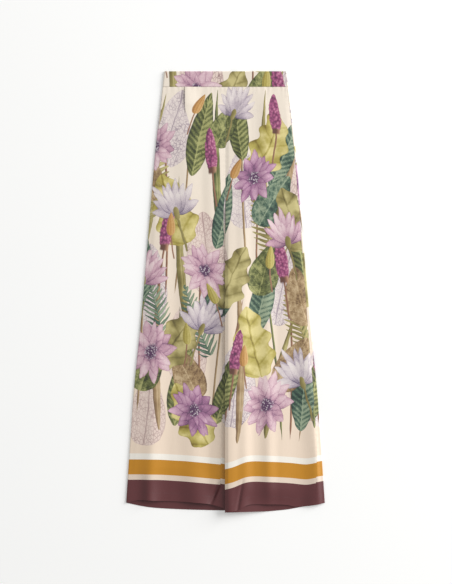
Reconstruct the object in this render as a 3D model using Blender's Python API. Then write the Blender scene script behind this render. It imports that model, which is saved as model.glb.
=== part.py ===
"""Wide palazzo trousers, laid flat on their back with the front panels up.

Metres. x runs to the wearer's left, y towards the waist and z up from the surface they lie on.
Each leg is a flattened tube of a front and a back panel. Below the crotch the wearer's left leg lies over the
inner edge of the right one. "down" is the distance from the waist edge, measured along the garment.

A section is cut across the garment, and runs clockwise as seen from the hem, so that the inside of the cloth is
on its right. Its first and last points are guides that only give the cloth's direction at its cut edges.
"""

import math
from collections import namedtuple

import bpy
from mathutils import Vector

# Driving sizes.
LENGTH = 1.1045  # waist edge to the lowest point of the hem
WAISTBAND_DEPTH = 0.0387
CROTCH_DOWN = 0.300
CLOTH = 0.0012  # wall of a leg panel
WAISTBAND_CLOTH = 0.0020  # wall of the waistband, which is doubled and fused
SEAM_GAP = 0.0003
EDGE_SEAM_GAP = 0.0010  # the same on the round of a folded edge, whose inner side is tighter
LEG_HEIGHT = 0.0036  # under side to top at a folded edge: two walls and the air between them
WAISTBAND_HEIGHT = 0.0046
PLUMPNESS = 0.0012  # how much the cloth stands up between its edges
UNDER_TURN = 0.0050  # how far a panel runs under a folded edge to its seam
HIDDEN_OVERLAP = 0.0150  # how far the right leg runs under the left one
INNER_EDGE = -0.0015  # the left leg's inner edge, once it lies on the right leg
HEM_NOMINAL = 1.0850
HEM_FREE_FROM = 0.7000  # below this the rows bend towards the hem's own line

WAIST_Y = LENGTH / 2
LEG_EDGE = LEG_HEIGHT / 2  # radius of a leg's folded edge
WAISTBAND_EDGE = WAISTBAND_HEIGHT / 2

Width = namedtuple("Width", "down half")
WIDTHS = (
    Width(0.000, 0.1530),
    Width(0.039, 0.1572),
    Width(0.139, 0.1692),
    Width(0.259, 0.1808),
    Width(0.439, 0.1957),
    Width(0.619, 0.2112),
    Width(0.799, 0.2292),
    Width(0.919, 0.2375),
    Width(1.085, 0.2485),
)

# The left leg's side seam lies on the front, this far inside the outer edge.
SideSeam = namedtuple("SideSeam", "down inset")
SIDE_SEAM = (
    SideSeam(0.000, 0.0040),
    SideSeam(0.500, 0.0050),
    SideSeam(0.775, 0.0095),
    SideSeam(0.950, 0.0120),
    SideSeam(1.085, 0.0250),
)

# The right leg's inner leg seam lies on the front, this far from the centre line.
InnerSeam = namedtuple("InnerSeam", "down inset")
INNER_SEAM = (
    InnerSeam(0.345, 0.0045),
    InnerSeam(0.500, 0.0060),
    InnerSeam(0.800, 0.0090),
    InnerSeam(1.085, 0.0140),
)

# Hem lines: x against the distance down, for each leg's front and back.
Hem = namedtuple("Hem", "x down")
RIGHT_FRONT_HEM = (
    Hem(-0.2485, 1.0790),
    Hem(-0.2130, 1.0745),
    Hem(-0.1390, 1.0760),
    Hem(-0.0880, 1.0795),
    Hem(-0.0450, 1.0850),
    Hem(-0.0140, 1.0910),
    Hem(0.0150, 1.0985),
)
RIGHT_BACK_HEM = (
    Hem(-0.2485, 1.0790),
    Hem(-0.2050, 1.0880),
    Hem(-0.1720, 1.0920),
    Hem(-0.1050, 1.0955),
    Hem(-0.0380, 1.0975),
    Hem(0.0150, 1.0985),
)
LEFT_FRONT_HEM = (
    Hem(-0.0015, 1.1045),
    Hem(0.0320, 1.0960),
    Hem(0.0560, 1.0835),
    Hem(0.1010, 1.0825),
    Hem(0.1520, 1.0840),
    Hem(0.1780, 1.0890),
    Hem(0.2240, 1.0840),
    Hem(0.2485, 1.0790),
)
LEFT_BACK_HEM = (
    Hem(-0.0015, 1.1045),
    Hem(0.0500, 1.1030),
    Hem(0.1010, 1.1015),
    Hem(0.1520, 1.0960),
    Hem(0.1780, 1.0915),
    Hem(0.2485, 1.0790),
)

# Long soft folds in a front panel. x is the crest's distance from the centre line. A fold of height 0 fades in.
Fold = namedtuple("Fold", "start end x_start x_end half_width height_start height_end")
RIGHT_FOLDS = (
    Fold(0.060, 1.090, 0.1010, 0.0880, 0.0380, 0.0016, 0.0046),
    Fold(0.240, 1.090, 0.1500, 0.1880, 0.0360, 0.0000, 0.0058),
    Fold(0.080, 1.090, 0.0420, 0.0240, 0.0200, 0.0014, 0.0036),
    Fold(0.960, 1.090, 0.1400, 0.1350, 0.0800, 0.0000, 0.0030),
)
LEFT_FOLDS = (
    Fold(0.060, 1.090, 0.1000, 0.1060, 0.0340, 0.0016, 0.0048),
    Fold(0.280, 1.090, 0.1560, 0.2230, 0.0300, 0.0000, 0.0060),
    Fold(0.420, 1.090, 0.1340, 0.1580, 0.0240, 0.0000, 0.0026),
    Fold(0.100, 0.900, 0.0430, 0.0620, 0.0260, 0.0012, 0.0014),
    Fold(0.960, 1.090, 0.1000, 0.1000, 0.0700, 0.0000, 0.0024),
)

# The pressed pleat of each front: its edge faces the side seam, and it opens out below the hip.
Pleat = namedtuple("Pleat", "down height")
PLEAT_HEIGHTS = (Pleat(0.039, 0.0010), Pleat(0.058, 0.0022), Pleat(0.105, 0.0019), Pleat(0.175, 0.0))
PLEAT_X = 0.1010
PLEAT_STEP = 0.0010
PLEAT_RUN_OUT = 0.0450  # how far towards the centre the pleat's top layer takes to level out

# Stages of the inner leg edge below the crotch.
CLOSING = 0.006  # above the crotch, the panels' ends turn towards each other over this length
SEAM_SETTLED = CROTCH_DOWN + 0.045  # the inner leg seam has moved off the edge to its own place
LIFT_START = CROTCH_DOWN + 0.008
LIFTED = CROTCH_DOWN + 0.065  # the left leg's edge has risen to the height of the right leg's top
OVERLAPPED = CROTCH_DOWN + 0.135
ROWS = (
    WAISTBAND_DEPTH + SEAM_GAP, 0.048, 0.058, 0.080, 0.105, 0.135, 0.175, 0.215, 0.258,
    CROTCH_DOWN - CLOSING, CROTCH_DOWN - 0.003, CROTCH_DOWN - 0.001, CROTCH_DOWN, LIFT_START, 0.317, 0.326,
    0.336, SEAM_SETTLED, LIFTED, 0.385, 0.408, OVERLAPPED, 0.500, 0.575, 0.650, 0.725, 0.800, 0.870, 0.930,
    0.985, 1.025, 1.058, HEM_NOMINAL,
)  # fmt: skip

# Columns of a section. Those beside an inner leg seam keep their distance from it along the cloth.
EDGE_SEGMENTS = 4
ACROSS_SEGMENTS = 8
BACK_SEGMENTS = 11
GUIDE = 0.0009
FRONT_RIGHT_SEAM_STEPS = (0.0120, 0.0060, 0.0032, 0.0021, 0.0010, 0.0)
FRONT_LEFT_SEAM_STEPS = (0.0120, 0.0088, 0.0072, 0.0059, 0.0046, 0.0033, 0.0021, 0.0010, 0.0)
BACK_LEFT_SEAM_STEPS = (0.0060, 0.0032, 0.0021, 0.0010, 0.0)
LEAST_STEP = 0.0003

HALF_ROUND = math.pi * LEG_EDGE  # length of the cloth round a leg's folded edge

Point = namedtuple("Point", "x z hem")


def ease(share):
    share = min(1.0, max(0.0, share))
    return share * share * (3 - 2 * share)


def spread(start, end, segments):
    """Values from start to end, both kept."""
    return [start + (end - start) * k / segments for k in range(segments + 1)]


def read(rows, at):
    """The second column of a table at a value of its first, as a smooth curve through its rows."""
    if at <= rows[0][0]:
        return rows[0][1]
    if at >= rows[-1][0]:
        return rows[-1][1]
    k = next(i for i in range(len(rows) - 1) if at <= rows[i + 1][0])

    def slope(i):
        before, after = rows[max(i - 1, 0)], rows[min(i + 1, len(rows) - 1)]
        return (after[1] - before[1]) / (after[0] - before[0])

    (x0, y0), (x1, y1) = rows[k], rows[k + 1]
    step = x1 - x0
    t = (at - x0) / step
    return (
        (1 + 2 * t) * (1 - t) ** 2 * y0
        + t * (1 - t) ** 2 * step * slope(k)
        + t * t * (3 - 2 * t) * y1
        + t * t * (t - 1) * step * slope(k + 1)
    )


def fold_height(fold, from_centre, down):
    share = min(1.0, max(0.0, (down - fold.start) / (fold.end - fold.start)))
    crest = fold.x_start + share * (fold.x_end - fold.x_start)
    off = abs(from_centre - crest) / fold.half_width
    if off >= 1:
        return 0.0
    height = fold.height_start + share * (fold.height_end - fold.height_start)
    fade_in = ease((down - WAISTBAND_DEPTH) / 0.06)
    return height * fade_in * math.cos(off * math.pi / 2) ** 2


class Leg:
    """One leg as a flattened tube. side is +1 for the wearer's left leg, at +x, which lies on top."""

    def __init__(self, side, folds, front_hem, back_hem):
        self.side = side
        self.on_top = side > 0
        self.folds = folds
        self.front_hem = front_hem
        self.back_hem = back_hem

    def outer(self, down):
        return self.side * read(WIDTHS, down)

    def inner(self, down):
        """x of the inner edge, beside the other leg's until the left leg has lifted over the right."""
        share = ease((down - LIFTED) / (OVERLAPPED - LIFTED))
        beside = self.side * SEAM_GAP / 2
        there = INNER_EDGE if self.on_top else HIDDEN_OVERLAP
        return beside + share * (there - beside)

    def floor(self, x, down):
        """Height of what the tube lies on: 0, or the right leg's top where the left leg lies on that."""
        if not self.on_top:
            return 0.0
        lift = ease((down - LIFT_START) / (LIFTED - LIFT_START))
        return lift * (LEG_HEIGHT + SEAM_GAP) * (1 - ease((x - HIDDEN_OVERLAP - 0.004) / 0.028))

    def top(self, x, down):
        """Height of the front's outer surface."""
        from_centre = abs(x)
        to_outer = abs(self.outer(down)) - from_centre
        inside = ease(to_outer / 0.022) * ease(x * self.side / 0.022)
        height = LEG_HEIGHT + PLUMPNESS * inside * ease((down - WAISTBAND_DEPTH) / 0.08)
        height += inside * sum(fold_height(fold, from_centre, down) for fold in self.folds)
        if from_centre <= PLEAT_X:
            pleat = max(0.0, read(PLEAT_HEIGHTS, down))
            height += pleat * (1 - ease((PLEAT_X - from_centre) / PLEAT_RUN_OUT))
        return self.floor(x, down) + height

    def on_front(self, x, down):
        return Point(x, self.top(x, down), self.front_hem)

    def on_back(self, x, down):
        return Point(x, self.floor(x, down), self.back_hem)

    def round_outer_edge(self, down):
        """Clockwise round the folded outer edge, with the points where it leaves the flat."""
        centre = self.outer(down) - self.side * LEG_EDGE
        turn = spread(math.pi, 0.0, EDGE_SEGMENTS) if self.side < 0 else spread(0.0, math.pi, EDGE_SEGMENTS)
        return [
            Point(
                centre + self.side * LEG_EDGE * math.sin(angle),
                LEG_EDGE + LEG_EDGE * math.cos(angle),
                self.front_hem,
            )
            for angle in turn
        ]

    def round_inner_edge(self, along, down):
        """The point this far along the cloth from where the inner edge leaves the top."""
        centre = self.inner(down) + self.side * LEG_EDGE
        if along <= 0:
            return self.on_front(centre - self.side * along, down)
        if along >= HALF_ROUND:
            return self.on_back(centre + self.side * (along - HALF_ROUND), down)
        angle = along / LEG_EDGE
        x = centre - self.side * LEG_EDGE * math.sin(angle)
        return Point(x, self.floor(centre, down) + LEG_EDGE + LEG_EDGE * math.cos(angle), self.front_hem)

    def closed(self, down):
        """How far the panels' inner ends have turned round towards each other: 1 from the crotch on."""
        into_edge = min(1.0, max(0.0, 1 - (CROTCH_DOWN - down) / CLOSING))
        return 1 - math.sqrt(1 - into_edge**2)

    def beside_seam(self, along, down, on_layer):
        """The point this far along the cloth: flat up to the centre seam, and round the inner edge below it."""
        if down >= CROTCH_DOWN:
            return self.round_inner_edge(along, down)
        to_seam = HALF_ROUND / 2 - along
        if on_layer == self.on_back:
            to_seam = -to_seam
        flat = on_layer(self.side * to_seam, down)
        closed = self.closed(down)
        edge = self.round_inner_edge(along, down)
        return Point(
            flat.x + closed * (edge.x - flat.x),
            flat.z + closed * (edge.z - flat.z),
            flat.hem,
        )

    def inner_seam(self, down):
        """How far along the cloth the inner leg seam lies: mid-edge at the crotch, then its own place."""
        if self.on_top:
            place = HALF_ROUND + UNDER_TURN - LEG_EDGE
        else:
            place = -(self.inner(down) - LEG_EDGE + read(INNER_SEAM, down))
        share = ease((down - CROTCH_DOWN) / (SEAM_SETTLED - CROTCH_DOWN))
        return HALF_ROUND / 2 + share * (place - HALF_ROUND / 2)

    def half_gap(self, down):
        """Half the gap at the inner leg seam, or at the centre seam above it."""
        off_edge = abs(self.inner_seam(down) - HALF_ROUND / 2) / HALF_ROUND
        on_edge = self.closed(down) * max(0.0, 1 - off_edge)
        return (SEAM_GAP + on_edge * (EDGE_SEAM_GAP - SEAM_GAP)) / 2


def front_right(leg, down):
    """From the seam under the outer edge, over the front, to the centre seam or the inner leg seam."""
    edge = leg.outer(down)
    under = [leg.on_back(edge + UNDER_TURN + GUIDE, down), leg.on_back(edge + UNDER_TURN, down)]
    turn = leg.round_outer_edge(down)
    end = leg.inner_seam(down) - leg.half_gap(down)
    at_seam = [leg.beside_seam(end - step, down, leg.on_front) for step in (*FRONT_RIGHT_SEAM_STEPS, -GUIDE)]
    foot, crest = -PLEAT_X - PLEAT_STEP, -PLEAT_X
    across = spread(edge + LEG_EDGE, foot, ACROSS_SEGMENTS)[1:]
    across += spread(crest, at_seam[0].x, ACROSS_SEGMENTS)[:-1]
    return under + turn + [leg.on_front(x, down) for x in across] + at_seam


def back_right(leg, down):
    """From the inner seam, round the hidden inner edge, and across the back to the seam by the outer edge."""
    start = leg.inner_seam(down) + leg.half_gap(down)
    stops = [start, min(start, 0.0) / 2] + spread(0.0, HALF_ROUND, EDGE_SEGMENTS)
    along = [start - GUIDE] + [max(stop, start + LEAST_STEP * k) for k, stop in enumerate(stops)]
    turn = [leg.beside_seam(a, down, leg.on_back) for a in along]
    end = leg.outer(down) + UNDER_TURN + SEAM_GAP
    across = spread(turn[-1].x, end, BACK_SEGMENTS)[1:] + [end - GUIDE]
    return turn + [leg.on_back(x, down) for x in across]


def front_left(leg, down):
    """From the centre seam, or the seam under the inner edge, over the front to the side seam."""
    start = leg.inner_seam(down) - leg.half_gap(down)
    steps = (-GUIDE, *reversed(FRONT_LEFT_SEAM_STEPS))
    at_seam = [leg.beside_seam(start - step, down, leg.on_front) for step in steps]
    seam = leg.outer(down) - read(SIDE_SEAM, down)
    foot, crest = PLEAT_X + PLEAT_STEP, PLEAT_X
    across = spread(at_seam[-1].x, crest, ACROSS_SEGMENTS)[1:]
    across += spread(foot, seam, ACROSS_SEGMENTS) + [seam + GUIDE]
    return at_seam + [leg.on_front(x, down) for x in across]


def back_left(leg, down):
    """From the side seam on the front, round the outer edge and across the back to the inner seam."""
    edge = leg.outer(down)
    seam = edge - read(SIDE_SEAM, down) + SEAM_GAP
    over = [leg.on_front(x, down) for x in (seam - GUIDE, seam, (seam + edge - LEG_EDGE) / 2)]
    turn = leg.round_outer_edge(down)
    end = leg.inner_seam(down) + leg.half_gap(down)
    at_seam = [leg.beside_seam(end + step, down, leg.on_back) for step in (*BACK_LEFT_SEAM_STEPS, -GUIDE)]
    across = spread(edge - LEG_EDGE, at_seam[0].x, BACK_SEGMENTS)[1:-1]
    return over + turn + [leg.on_back(x, down) for x in across] + at_seam


def row_down(row, point):
    """How far down a row's point lies: its own distance, drawn towards the hem's line near the bottom."""
    share = (row - HEM_FREE_FROM) / (HEM_NOMINAL - HEM_FREE_FROM)
    return row + ease(share) * (read(point.hem, point.x) - HEM_NOMINAL)


def waistband_end(side, start, end):
    """Round the waistband's folded end: start and end are angles from the top."""
    return [
        (side * WAISTBAND_EDGE * (math.sin(angle) - 1), WAISTBAND_EDGE * (1 + math.cos(angle)))
        for angle in spread(start, end, EDGE_SEGMENTS)
    ]


def waistband_front(down):
    """From its seam under the right edge, over the front, to the side seam near the left edge."""
    half = read(WIDTHS, down)
    seam = half - read(SIDE_SEAM, down)
    under = [(UNDER_TURN + GUIDE - half, 0.0), (UNDER_TURN - half, 0.0)]
    turn = [(x - half, z) for x, z in waistband_end(-1, math.pi, 0.0)]
    across = spread(turn[-1][0], seam, ACROSS_SEGMENTS)[1:] + [seam + GUIDE]
    return under + turn + [(x, WAISTBAND_HEIGHT) for x in across]


def waistband_back(down):
    """From the side seam near the left edge, round that edge and across the back."""
    half = read(WIDTHS, down)
    seam = half - read(SIDE_SEAM, down) + SEAM_GAP
    over = [(seam - GUIDE, WAISTBAND_HEIGHT), (seam, WAISTBAND_HEIGHT)]
    turn = [(x + half, z) for x, z in waistband_end(1, 0.0, math.pi)]
    end = UNDER_TURN + SEAM_GAP - half
    across = spread(turn[-1][0], end, ACROSS_SEGMENTS)[1:] + [end - GUIDE]
    return over + turn + [(x, 0.0) for x in across]


def inner_points(section, wall):
    """Points one wall inside a section's own, the guides left out. Corners are mitred."""
    inner = []
    for before, here, after in zip(section, section[1:], section[2:]):
        arriving = (here - before).normalized()
        leaving = (after - here).normalized()
        right_of = Vector((arriving.y + leaving.y, -arriving.x - leaving.x))
        inner.append(here + right_of * wall / (1 + arriving.dot(leaving)))
    return inner


def cloth_colour(name, colour):
    material = bpy.data.materials.new(name)
    material.use_nodes = True
    shader = material.node_tree.nodes["Principled BSDF"]
    shader.inputs["Base Color"].default_value = (*colour, 1.0)
    shader.inputs["Roughness"].default_value = 0.45
    shader.inputs["Metallic"].default_value = 0.0
    return material


def make_panel(name, rows, wall, colour, parent):
    """A closed cloth panel. Each row is a section's points, as x and z, with how far down each of them lies."""
    outer, inner = [], []
    for points, downs in rows:
        section = [Vector(point) for point in points]
        outer += [(p.x, WAIST_Y - d, p.y) for p, d in zip(section[1:-1], downs[1:-1])]
        inner += [(p.x, WAIST_Y - d, p.y) for p, d in zip(inner_points(section, wall), downs[1:-1])]
    height = len(rows)
    width = len(outer) // height
    under = len(outer)  # index of the inner point beneath a point

    faces = []
    for i in range(height - 1):
        for j in range(width - 1):
            a = i * width + j
            face = (a, a + width, a + width + 1, a + 1)
            faces.append(face)
            faces.append(tuple(under + k for k in reversed(face)))
    rim = list(range(width))
    rim += [i * width + width - 1 for i in range(1, height)]
    rim += [(height - 1) * width + j for j in reversed(range(width - 1))]
    rim += [i * width for i in reversed(range(1, height - 1))]
    for here, there in zip(rim, rim[1:] + rim[:1]):
        faces.append((here, there, under + there, under + here))

    mesh = bpy.data.meshes.new(name)
    mesh.from_pydata(outer + inner, [], faces)
    mesh.shade_smooth()
    mesh.set_sharp_from_angle(angle=math.radians(50))
    mesh.materials.append(cloth_colour(name + "_cloth", colour))
    panel = bpy.data.objects.new(name, mesh)
    bpy.context.scene.collection.objects.link(panel)
    panel.parent = parent


def leg_rows(leg, section):
    rows = []
    for row in ROWS:
        points = section(leg, row)
        rows.append(([(p.x, p.z) for p in points], [row_down(row, p) for p in points]))
    return rows


def waistband_rows(section):
    return [(section(down), [down] * len(section(down))) for down in spread(0.0, WAISTBAND_DEPTH, 3)]


def build():
    for old in list(bpy.data.objects):
        bpy.data.objects.remove(old, do_unlink=True)
    trousers = bpy.data.objects.new("trousers", None)
    bpy.context.scene.collection.objects.link(trousers)

    right = Leg(-1, RIGHT_FOLDS, RIGHT_FRONT_HEM, RIGHT_BACK_HEM)
    left = Leg(1, LEFT_FOLDS, LEFT_FRONT_HEM, LEFT_BACK_HEM)
    cream, shaded_cream = (0.80, 0.70, 0.58), (0.74, 0.64, 0.53)
    make_panel("front_right", leg_rows(right, front_right), CLOTH, cream, trousers)
    make_panel("back_right", leg_rows(right, back_right), CLOTH, shaded_cream, trousers)
    make_panel("front_left", leg_rows(left, front_left), CLOTH, cream, trousers)
    make_panel("back_left", leg_rows(left, back_left), CLOTH, shaded_cream, trousers)
    make_panel("waistband_front", waistband_rows(waistband_front), WAISTBAND_CLOTH, cream, trousers)
    make_panel("waistband_back", waistband_rows(waistband_back), WAISTBAND_CLOTH, shaded_cream, trousers)


build()
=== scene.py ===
import math

import bpy
import numpy as np
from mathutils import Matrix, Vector


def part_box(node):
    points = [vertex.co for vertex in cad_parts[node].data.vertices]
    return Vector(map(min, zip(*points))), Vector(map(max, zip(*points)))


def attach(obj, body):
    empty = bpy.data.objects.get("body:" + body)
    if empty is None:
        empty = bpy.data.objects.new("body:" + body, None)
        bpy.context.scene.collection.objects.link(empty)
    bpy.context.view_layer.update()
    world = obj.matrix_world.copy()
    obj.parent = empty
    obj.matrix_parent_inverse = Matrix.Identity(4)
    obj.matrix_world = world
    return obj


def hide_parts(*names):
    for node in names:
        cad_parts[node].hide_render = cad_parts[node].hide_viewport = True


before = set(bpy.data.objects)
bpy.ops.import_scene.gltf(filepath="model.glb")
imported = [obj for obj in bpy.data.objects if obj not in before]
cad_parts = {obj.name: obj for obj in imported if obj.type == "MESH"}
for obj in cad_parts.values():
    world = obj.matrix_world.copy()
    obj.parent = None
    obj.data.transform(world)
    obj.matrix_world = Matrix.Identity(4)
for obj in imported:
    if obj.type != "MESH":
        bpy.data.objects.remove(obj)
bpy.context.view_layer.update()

# Wide satin trousers, laid flat. Metres; x to the wearer's left, y to the waist, z up.
# "down" is the distance below the waist edge, "out" the distance from the centre line along the cloth.

print("frame loaded")

trousers = {
    "waistY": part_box("waistband_front")[1][1],
    "legTop": 0.0388,
    "crotch": 0.300,
    "hem": 1.0850,
    "hemFreeFrom": 0.7000,      # from here down the cloth's rows bend towards the hem lines
    "legHeight": 0.0036,        # under side to top at a folded leg edge
    "plump": 0.0012,            # how far the upper layer stands higher inside the leg's edges
    "plumpGrows": 0.08,         # over how much of the leg below its top
    "foldsGrow": 0.06,          # the same for the long folds
    "seamGap": 0.00012,         # between two panels' cut edges
    "clothWall": 0.0006,
    "underTurn": 0.0050,        # how far a panel runs under a folded edge
    "nearTurn": 0.0006,         # how near to the rounded edge its flat part begins
    "rowStep": 0.0029,
    "smoothBelow": 55,          # degrees
}
overlap = {
    "hidden": 0.0150,           # how far the right leg runs under the left
    "innerEdge": -0.0015,       # x of the left leg's inner edge, on top of the right leg
    "bank": 0.0074,             # how far the right leg's inner side puffs up under the left
    "bankWidth": 0.042,
    "bankGrows": 0.32,          # over how much of the legs' length
    "bankShape": 1.5,
    "clear": 1.2,               # how many bank heights the left leg rises
    "lift": 0.0020,             # how far the left leg's inner edge stands off the right leg
    "gap": 0.0003,
    "liftInside": 0.0010,       # how far inside the right leg's edge the left leg begins to come down
    "runOut": 0.120,            # how far across it comes down to the surface
    "runOutShape": 0.8,
}

# down, half the width
widths = [(0, .1530), (.039, .1572), (.139, .1692), (.259, .1808), (.439, .1957), (.619, .2112),
          (.799, .2292), (.919, .2375), (1.085, .2485)]
# down, how far inside the outer edge the left side seam shows
sideSeam = [(0, .0040), (.5, .0050), (.775, .0095), (.95, .0120), (1.085, .0250)]
# down, how far from the centre line the right inner leg seam shows
innerSeam = [(.345, .0045), (.5, .0060), (.8, .0090), (1.085, .0140)]
# down, height of the pressed pleat's step
pleatHeights = [(.0388, .0022), (.056, .0040), (.080, .0032), (.092, .0014), (.118, .0003), (.150, 0)]
# columns of the pleat's edge: how far out it lies open, how far out folded, share of the step it drops
pleatEdge = [(0, 0, 0), (0.0006, 0.0003, 0.35), (0.0012, -0.0010, 0.82), (0.0018, 0.0009, 1)]
pleat = {
    "out": 0.1010,
    "runOut": 0.045,            # how far inside it the cloth begins to rise
    "depth": 0.030,             # how much cloth the fold takes at the waist
    "openBy": 0.180,
    "foldedFrom": 0.0010,       # a step this high has its edge tucked back in full
    "foot": 0.0012,             # where the step's foot is, out of its edge
    "insideEnd": 0.0020,
    "outsideStart": 0.0026,
}

# places down the legs, but "closing" is how far above the crotch the panels begin to turn together
stages = {"closing": 0.006, "seamSettled": 0.345, "liftStart": 0.308, "lifted": 0.365, "overlapped": 0.435}

# Each leg: hem lines as x, down; where the maroon band starts as x, down; long folds as
# start, end, out at start, out at end, half width, height at start, height at end, roundness;
# creases as out, down, out, down, width, depth and how many times wider their outer side is.
rightLeg = {
    "side": -1,
    "centreRise": 0.018,        # how soon the cloth rises beside its inner edge
    "edgeFall": 0.018,          # how soon it falls to the outer edge
    "pleatPress": 1.0,          # how high its pleat stands, as a share
    "frontHem": [(-.2485, 1.0790), (-.2130, 1.0718), (-.1720, 1.0738), (-.1390, 1.0748), (-.0880, 1.0770),
                 (-.0450, 1.0812), (-.0140, 1.0885), (.0150, 1.0985)],
    "backHem": [(-.2485, 1.0790), (-.2050, 1.0880), (-.1720, 1.0920), (-.1050, 1.0955), (-.0380, 1.0975),
                (.0150, 1.0985)],
    "frontBorder": [(-.2460, 1.0211), (-.1790, 1.0211), (-.1260, 1.0240), (-.0890, 1.0263), (-.0440, 1.0306),
                    (-.0140, 1.0333), (.0150, 1.0348)],
    "backBorder": [(-.2460, 1.0206), (-.1260, 1.0251), (-.0150, 1.0306), (.0150, 1.0351)],
    "folds": [(.060, 1.09, .1010, .0760, .0440, .0016, .0030, .60),
              (.240, 1.09, .1500, .1910, .0500, 0, .0068, .22),
              (.080, .80, .0420, .0300, .0240, .0012, .0003, .60),
              (.960, 1.09, .1400, .1350, .0800, 0, .0016, .90),
              (1.000, 1.09, .0620, .0620, .0520, 0, .0050, .50),
              (1.000, 1.09, .1900, .1900, .0300, 0, .0030, .40),
              (1.030, 1.09, .0000, .0000, .0300, 0, .0016, .60)],
    "creases": [(.0090, 1.015, .0400, 1.095, .0030, .0050, 3),
                (.2090, 1.015, .2090, 1.110, .0100, .0022, 2),
                (.1340, 1.000, .1300, 1.130, .0300, .0030, 3)],
}
leftLeg = {
    "side": 1,
    "centreRise": 0.010,
    "edgeFall": 0.0155,
    "pleatPress": 0.10,
    "frontHem": [(-.0015, 1.1022), (.0320, 1.0960), (.0560, 1.0835), (.1010, 1.0825), (.1520, 1.0840),
                 (.1780, 1.0890), (.2240, 1.0840), (.2485, 1.0790)],
    "backHem": [(-.0015, 1.1022), (.0500, 1.1012), (.1010, 1.1003), (.1520, 1.0960), (.1780, 1.0915),
                (.2485, 1.0790)],
    "frontBorder": [(-.0015, 1.0447), (.0200, 1.0390), (.0540, 1.0266), (.1010, 1.0260), (.1610, 1.0296),
                    (.2010, 1.0334), (.2240, 1.0296), (.2460, 1.0240)],
    "backBorder": [(-.0015, 1.0456), (.0540, 1.0386), (.1610, 1.0346), (.2210, 1.0276), (.2460, 1.0241)],
    "folds": [(.060, 1.09, .1000, .1090, .0280, .0016, .0032, .40),
              (.280, .96, .1560, .2275, .0380, 0, .0036, .30),
              (.420, 1.09, .1150, .1200, .0700, 0, .0058, .80),
              (.100, 1.09, .0430, .0520, .0240, .0012, .0026, .60),
              (.960, 1.09, .1000, .1000, .0700, 0, .0010, .90),
              (1.000, 1.09, .0130, .0130, .0150, 0, .0015, .50)],
    "creases": [(.0441, 1.010, .0248, 1.112, .0034, .0030, 1)],
}


def ease(share):
    share = np.clip(share, 0, 1)
    return share * share * (3 - 2 * share)


def read(rows, at):         # a table's second column as a smooth curve through its rows
    x, y = np.array(rows, float).T
    slope = np.gradient(y, x) if len(x) > 2 else np.full(2, (y[1] - y[0]) / (x[1] - x[0]))
    slope[1:-1] = (y[2:] - y[:-2]) / (x[2:] - x[:-2])
    at = np.clip(at, x[0], x[-1])
    k = np.clip(np.searchsorted(x, at, side="right") - 1, 0, len(x) - 2)
    step = x[k + 1] - x[k]
    t = (at - x[k]) / step
    return ((1 + 2 * t) * (1 - t) ** 2 * y[k] + t * (1 - t) ** 2 * step * slope[k]
            + t * t * (3 - 2 * t) * y[k + 1] + t * t * (t - 1) * step * slope[k + 1])


edgeRadius = trousers["legHeight"] / 2
halfRound = math.pi * edgeRadius


def outerX(leg, down):
    return leg["side"] * read(widths, down)


def innerX(leg, down):
    share = ease((down - stages["lifted"]) / (stages["overlapped"] - stages["lifted"]))
    beside = leg["side"] * trousers["seamGap"] / 2
    there = overlap["innerEdge"] if leg["side"] > 0 else overlap["hidden"]
    return beside + share * (there - beside)


def bankHeight(down):
    return overlap["bank"] * ease((down - stages["lifted"]) / overlap["bankGrows"])


def floorZ(leg, x, down):       # what the tube lies on: the surface, or the right leg
    if leg["side"] < 0:
        return np.zeros(np.broadcast(x, down).shape)
    lift = ease((down - stages["liftStart"]) / (stages["lifted"] - stages["liftStart"]))
    across = (x - overlap["hidden"] + overlap["liftInside"]) / overlap["runOut"]
    runOut = ease(np.clip(across, 0, 1) ** overlap["runOutShape"])
    raised = bankHeight(down) * (overlap["clear"] + overlap["lift"] / overlap["bank"])
    return lift * (trousers["legHeight"] + raised + overlap["gap"]) * (1 - runOut)


def belowTop(down):
    return down - trousers["legTop"]


def foldHeight(fold, out, down):
    start, end, outStart, outEnd, halfWidth, heightStart, heightEnd, roundness = fold
    share = np.clip((down - start) / (end - start), 0, 1)
    off = np.clip(np.abs(out - outStart - share * (outEnd - outStart)) / halfWidth, 0, 1)
    height = heightStart + share * (heightEnd - heightStart)
    fall = (np.hypot(off, roundness) - roundness) / (math.hypot(1, roundness) - roundness)
    return height * ease(belowTop(down) / trousers["foldsGrow"]) * (1 - fall) ** 2


def creaseDepth(crease, out, down):
    outA, downA, outB, downB, width, depth, gentle = crease
    along, across = np.array([outB - outA, downB - downA]), np.array([downA - downB, outB - outA])
    length = math.hypot(*along)
    p = ((out - outA) * along[0] + (down - downA) * along[1]) / length ** 2
    q = ((out - outA) * across[0] + (down - downA) * across[1]) / length
    taper = np.clip(1 - (2 * p - 1) ** 2, 0, 1)
    return depth * taper * np.exp(-(q / np.where(q < 0, width * gentle, width)) ** 2)


def openTopZ(leg, x, down):     # the upper layer, without the pleat
    out = np.abs(x)
    inside = ease((read(widths, down) - out) / leg["edgeFall"])
    inside = inside * ease((x - innerX(leg, down)) * leg["side"] / leg["centreRise"])
    grown = ease(belowTop(down) / trousers["plumpGrows"])
    height = trousers["legHeight"] + trousers["plump"] * inside * grown
    for fold in leg["folds"]:
        height = height + inside * foldHeight(fold, out, down)
    for crease in leg["creases"]:
        height = height - inside * creaseDepth(crease, out, down)
    return floorZ(leg, x, down) + height


def pleatHeight(leg, down):
    return leg["pleatPress"] * np.clip(read(pleatHeights, down), 0, 1)


def topZ(leg, x, down):
    out = np.abs(x)
    raised = pleatHeight(leg, down) * (1 - ease((pleat["out"] - out) / pleat["runOut"]))
    return openTopZ(leg, x, down) + np.where(out <= pleat["out"] + 1e-6, raised, 0)


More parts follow.
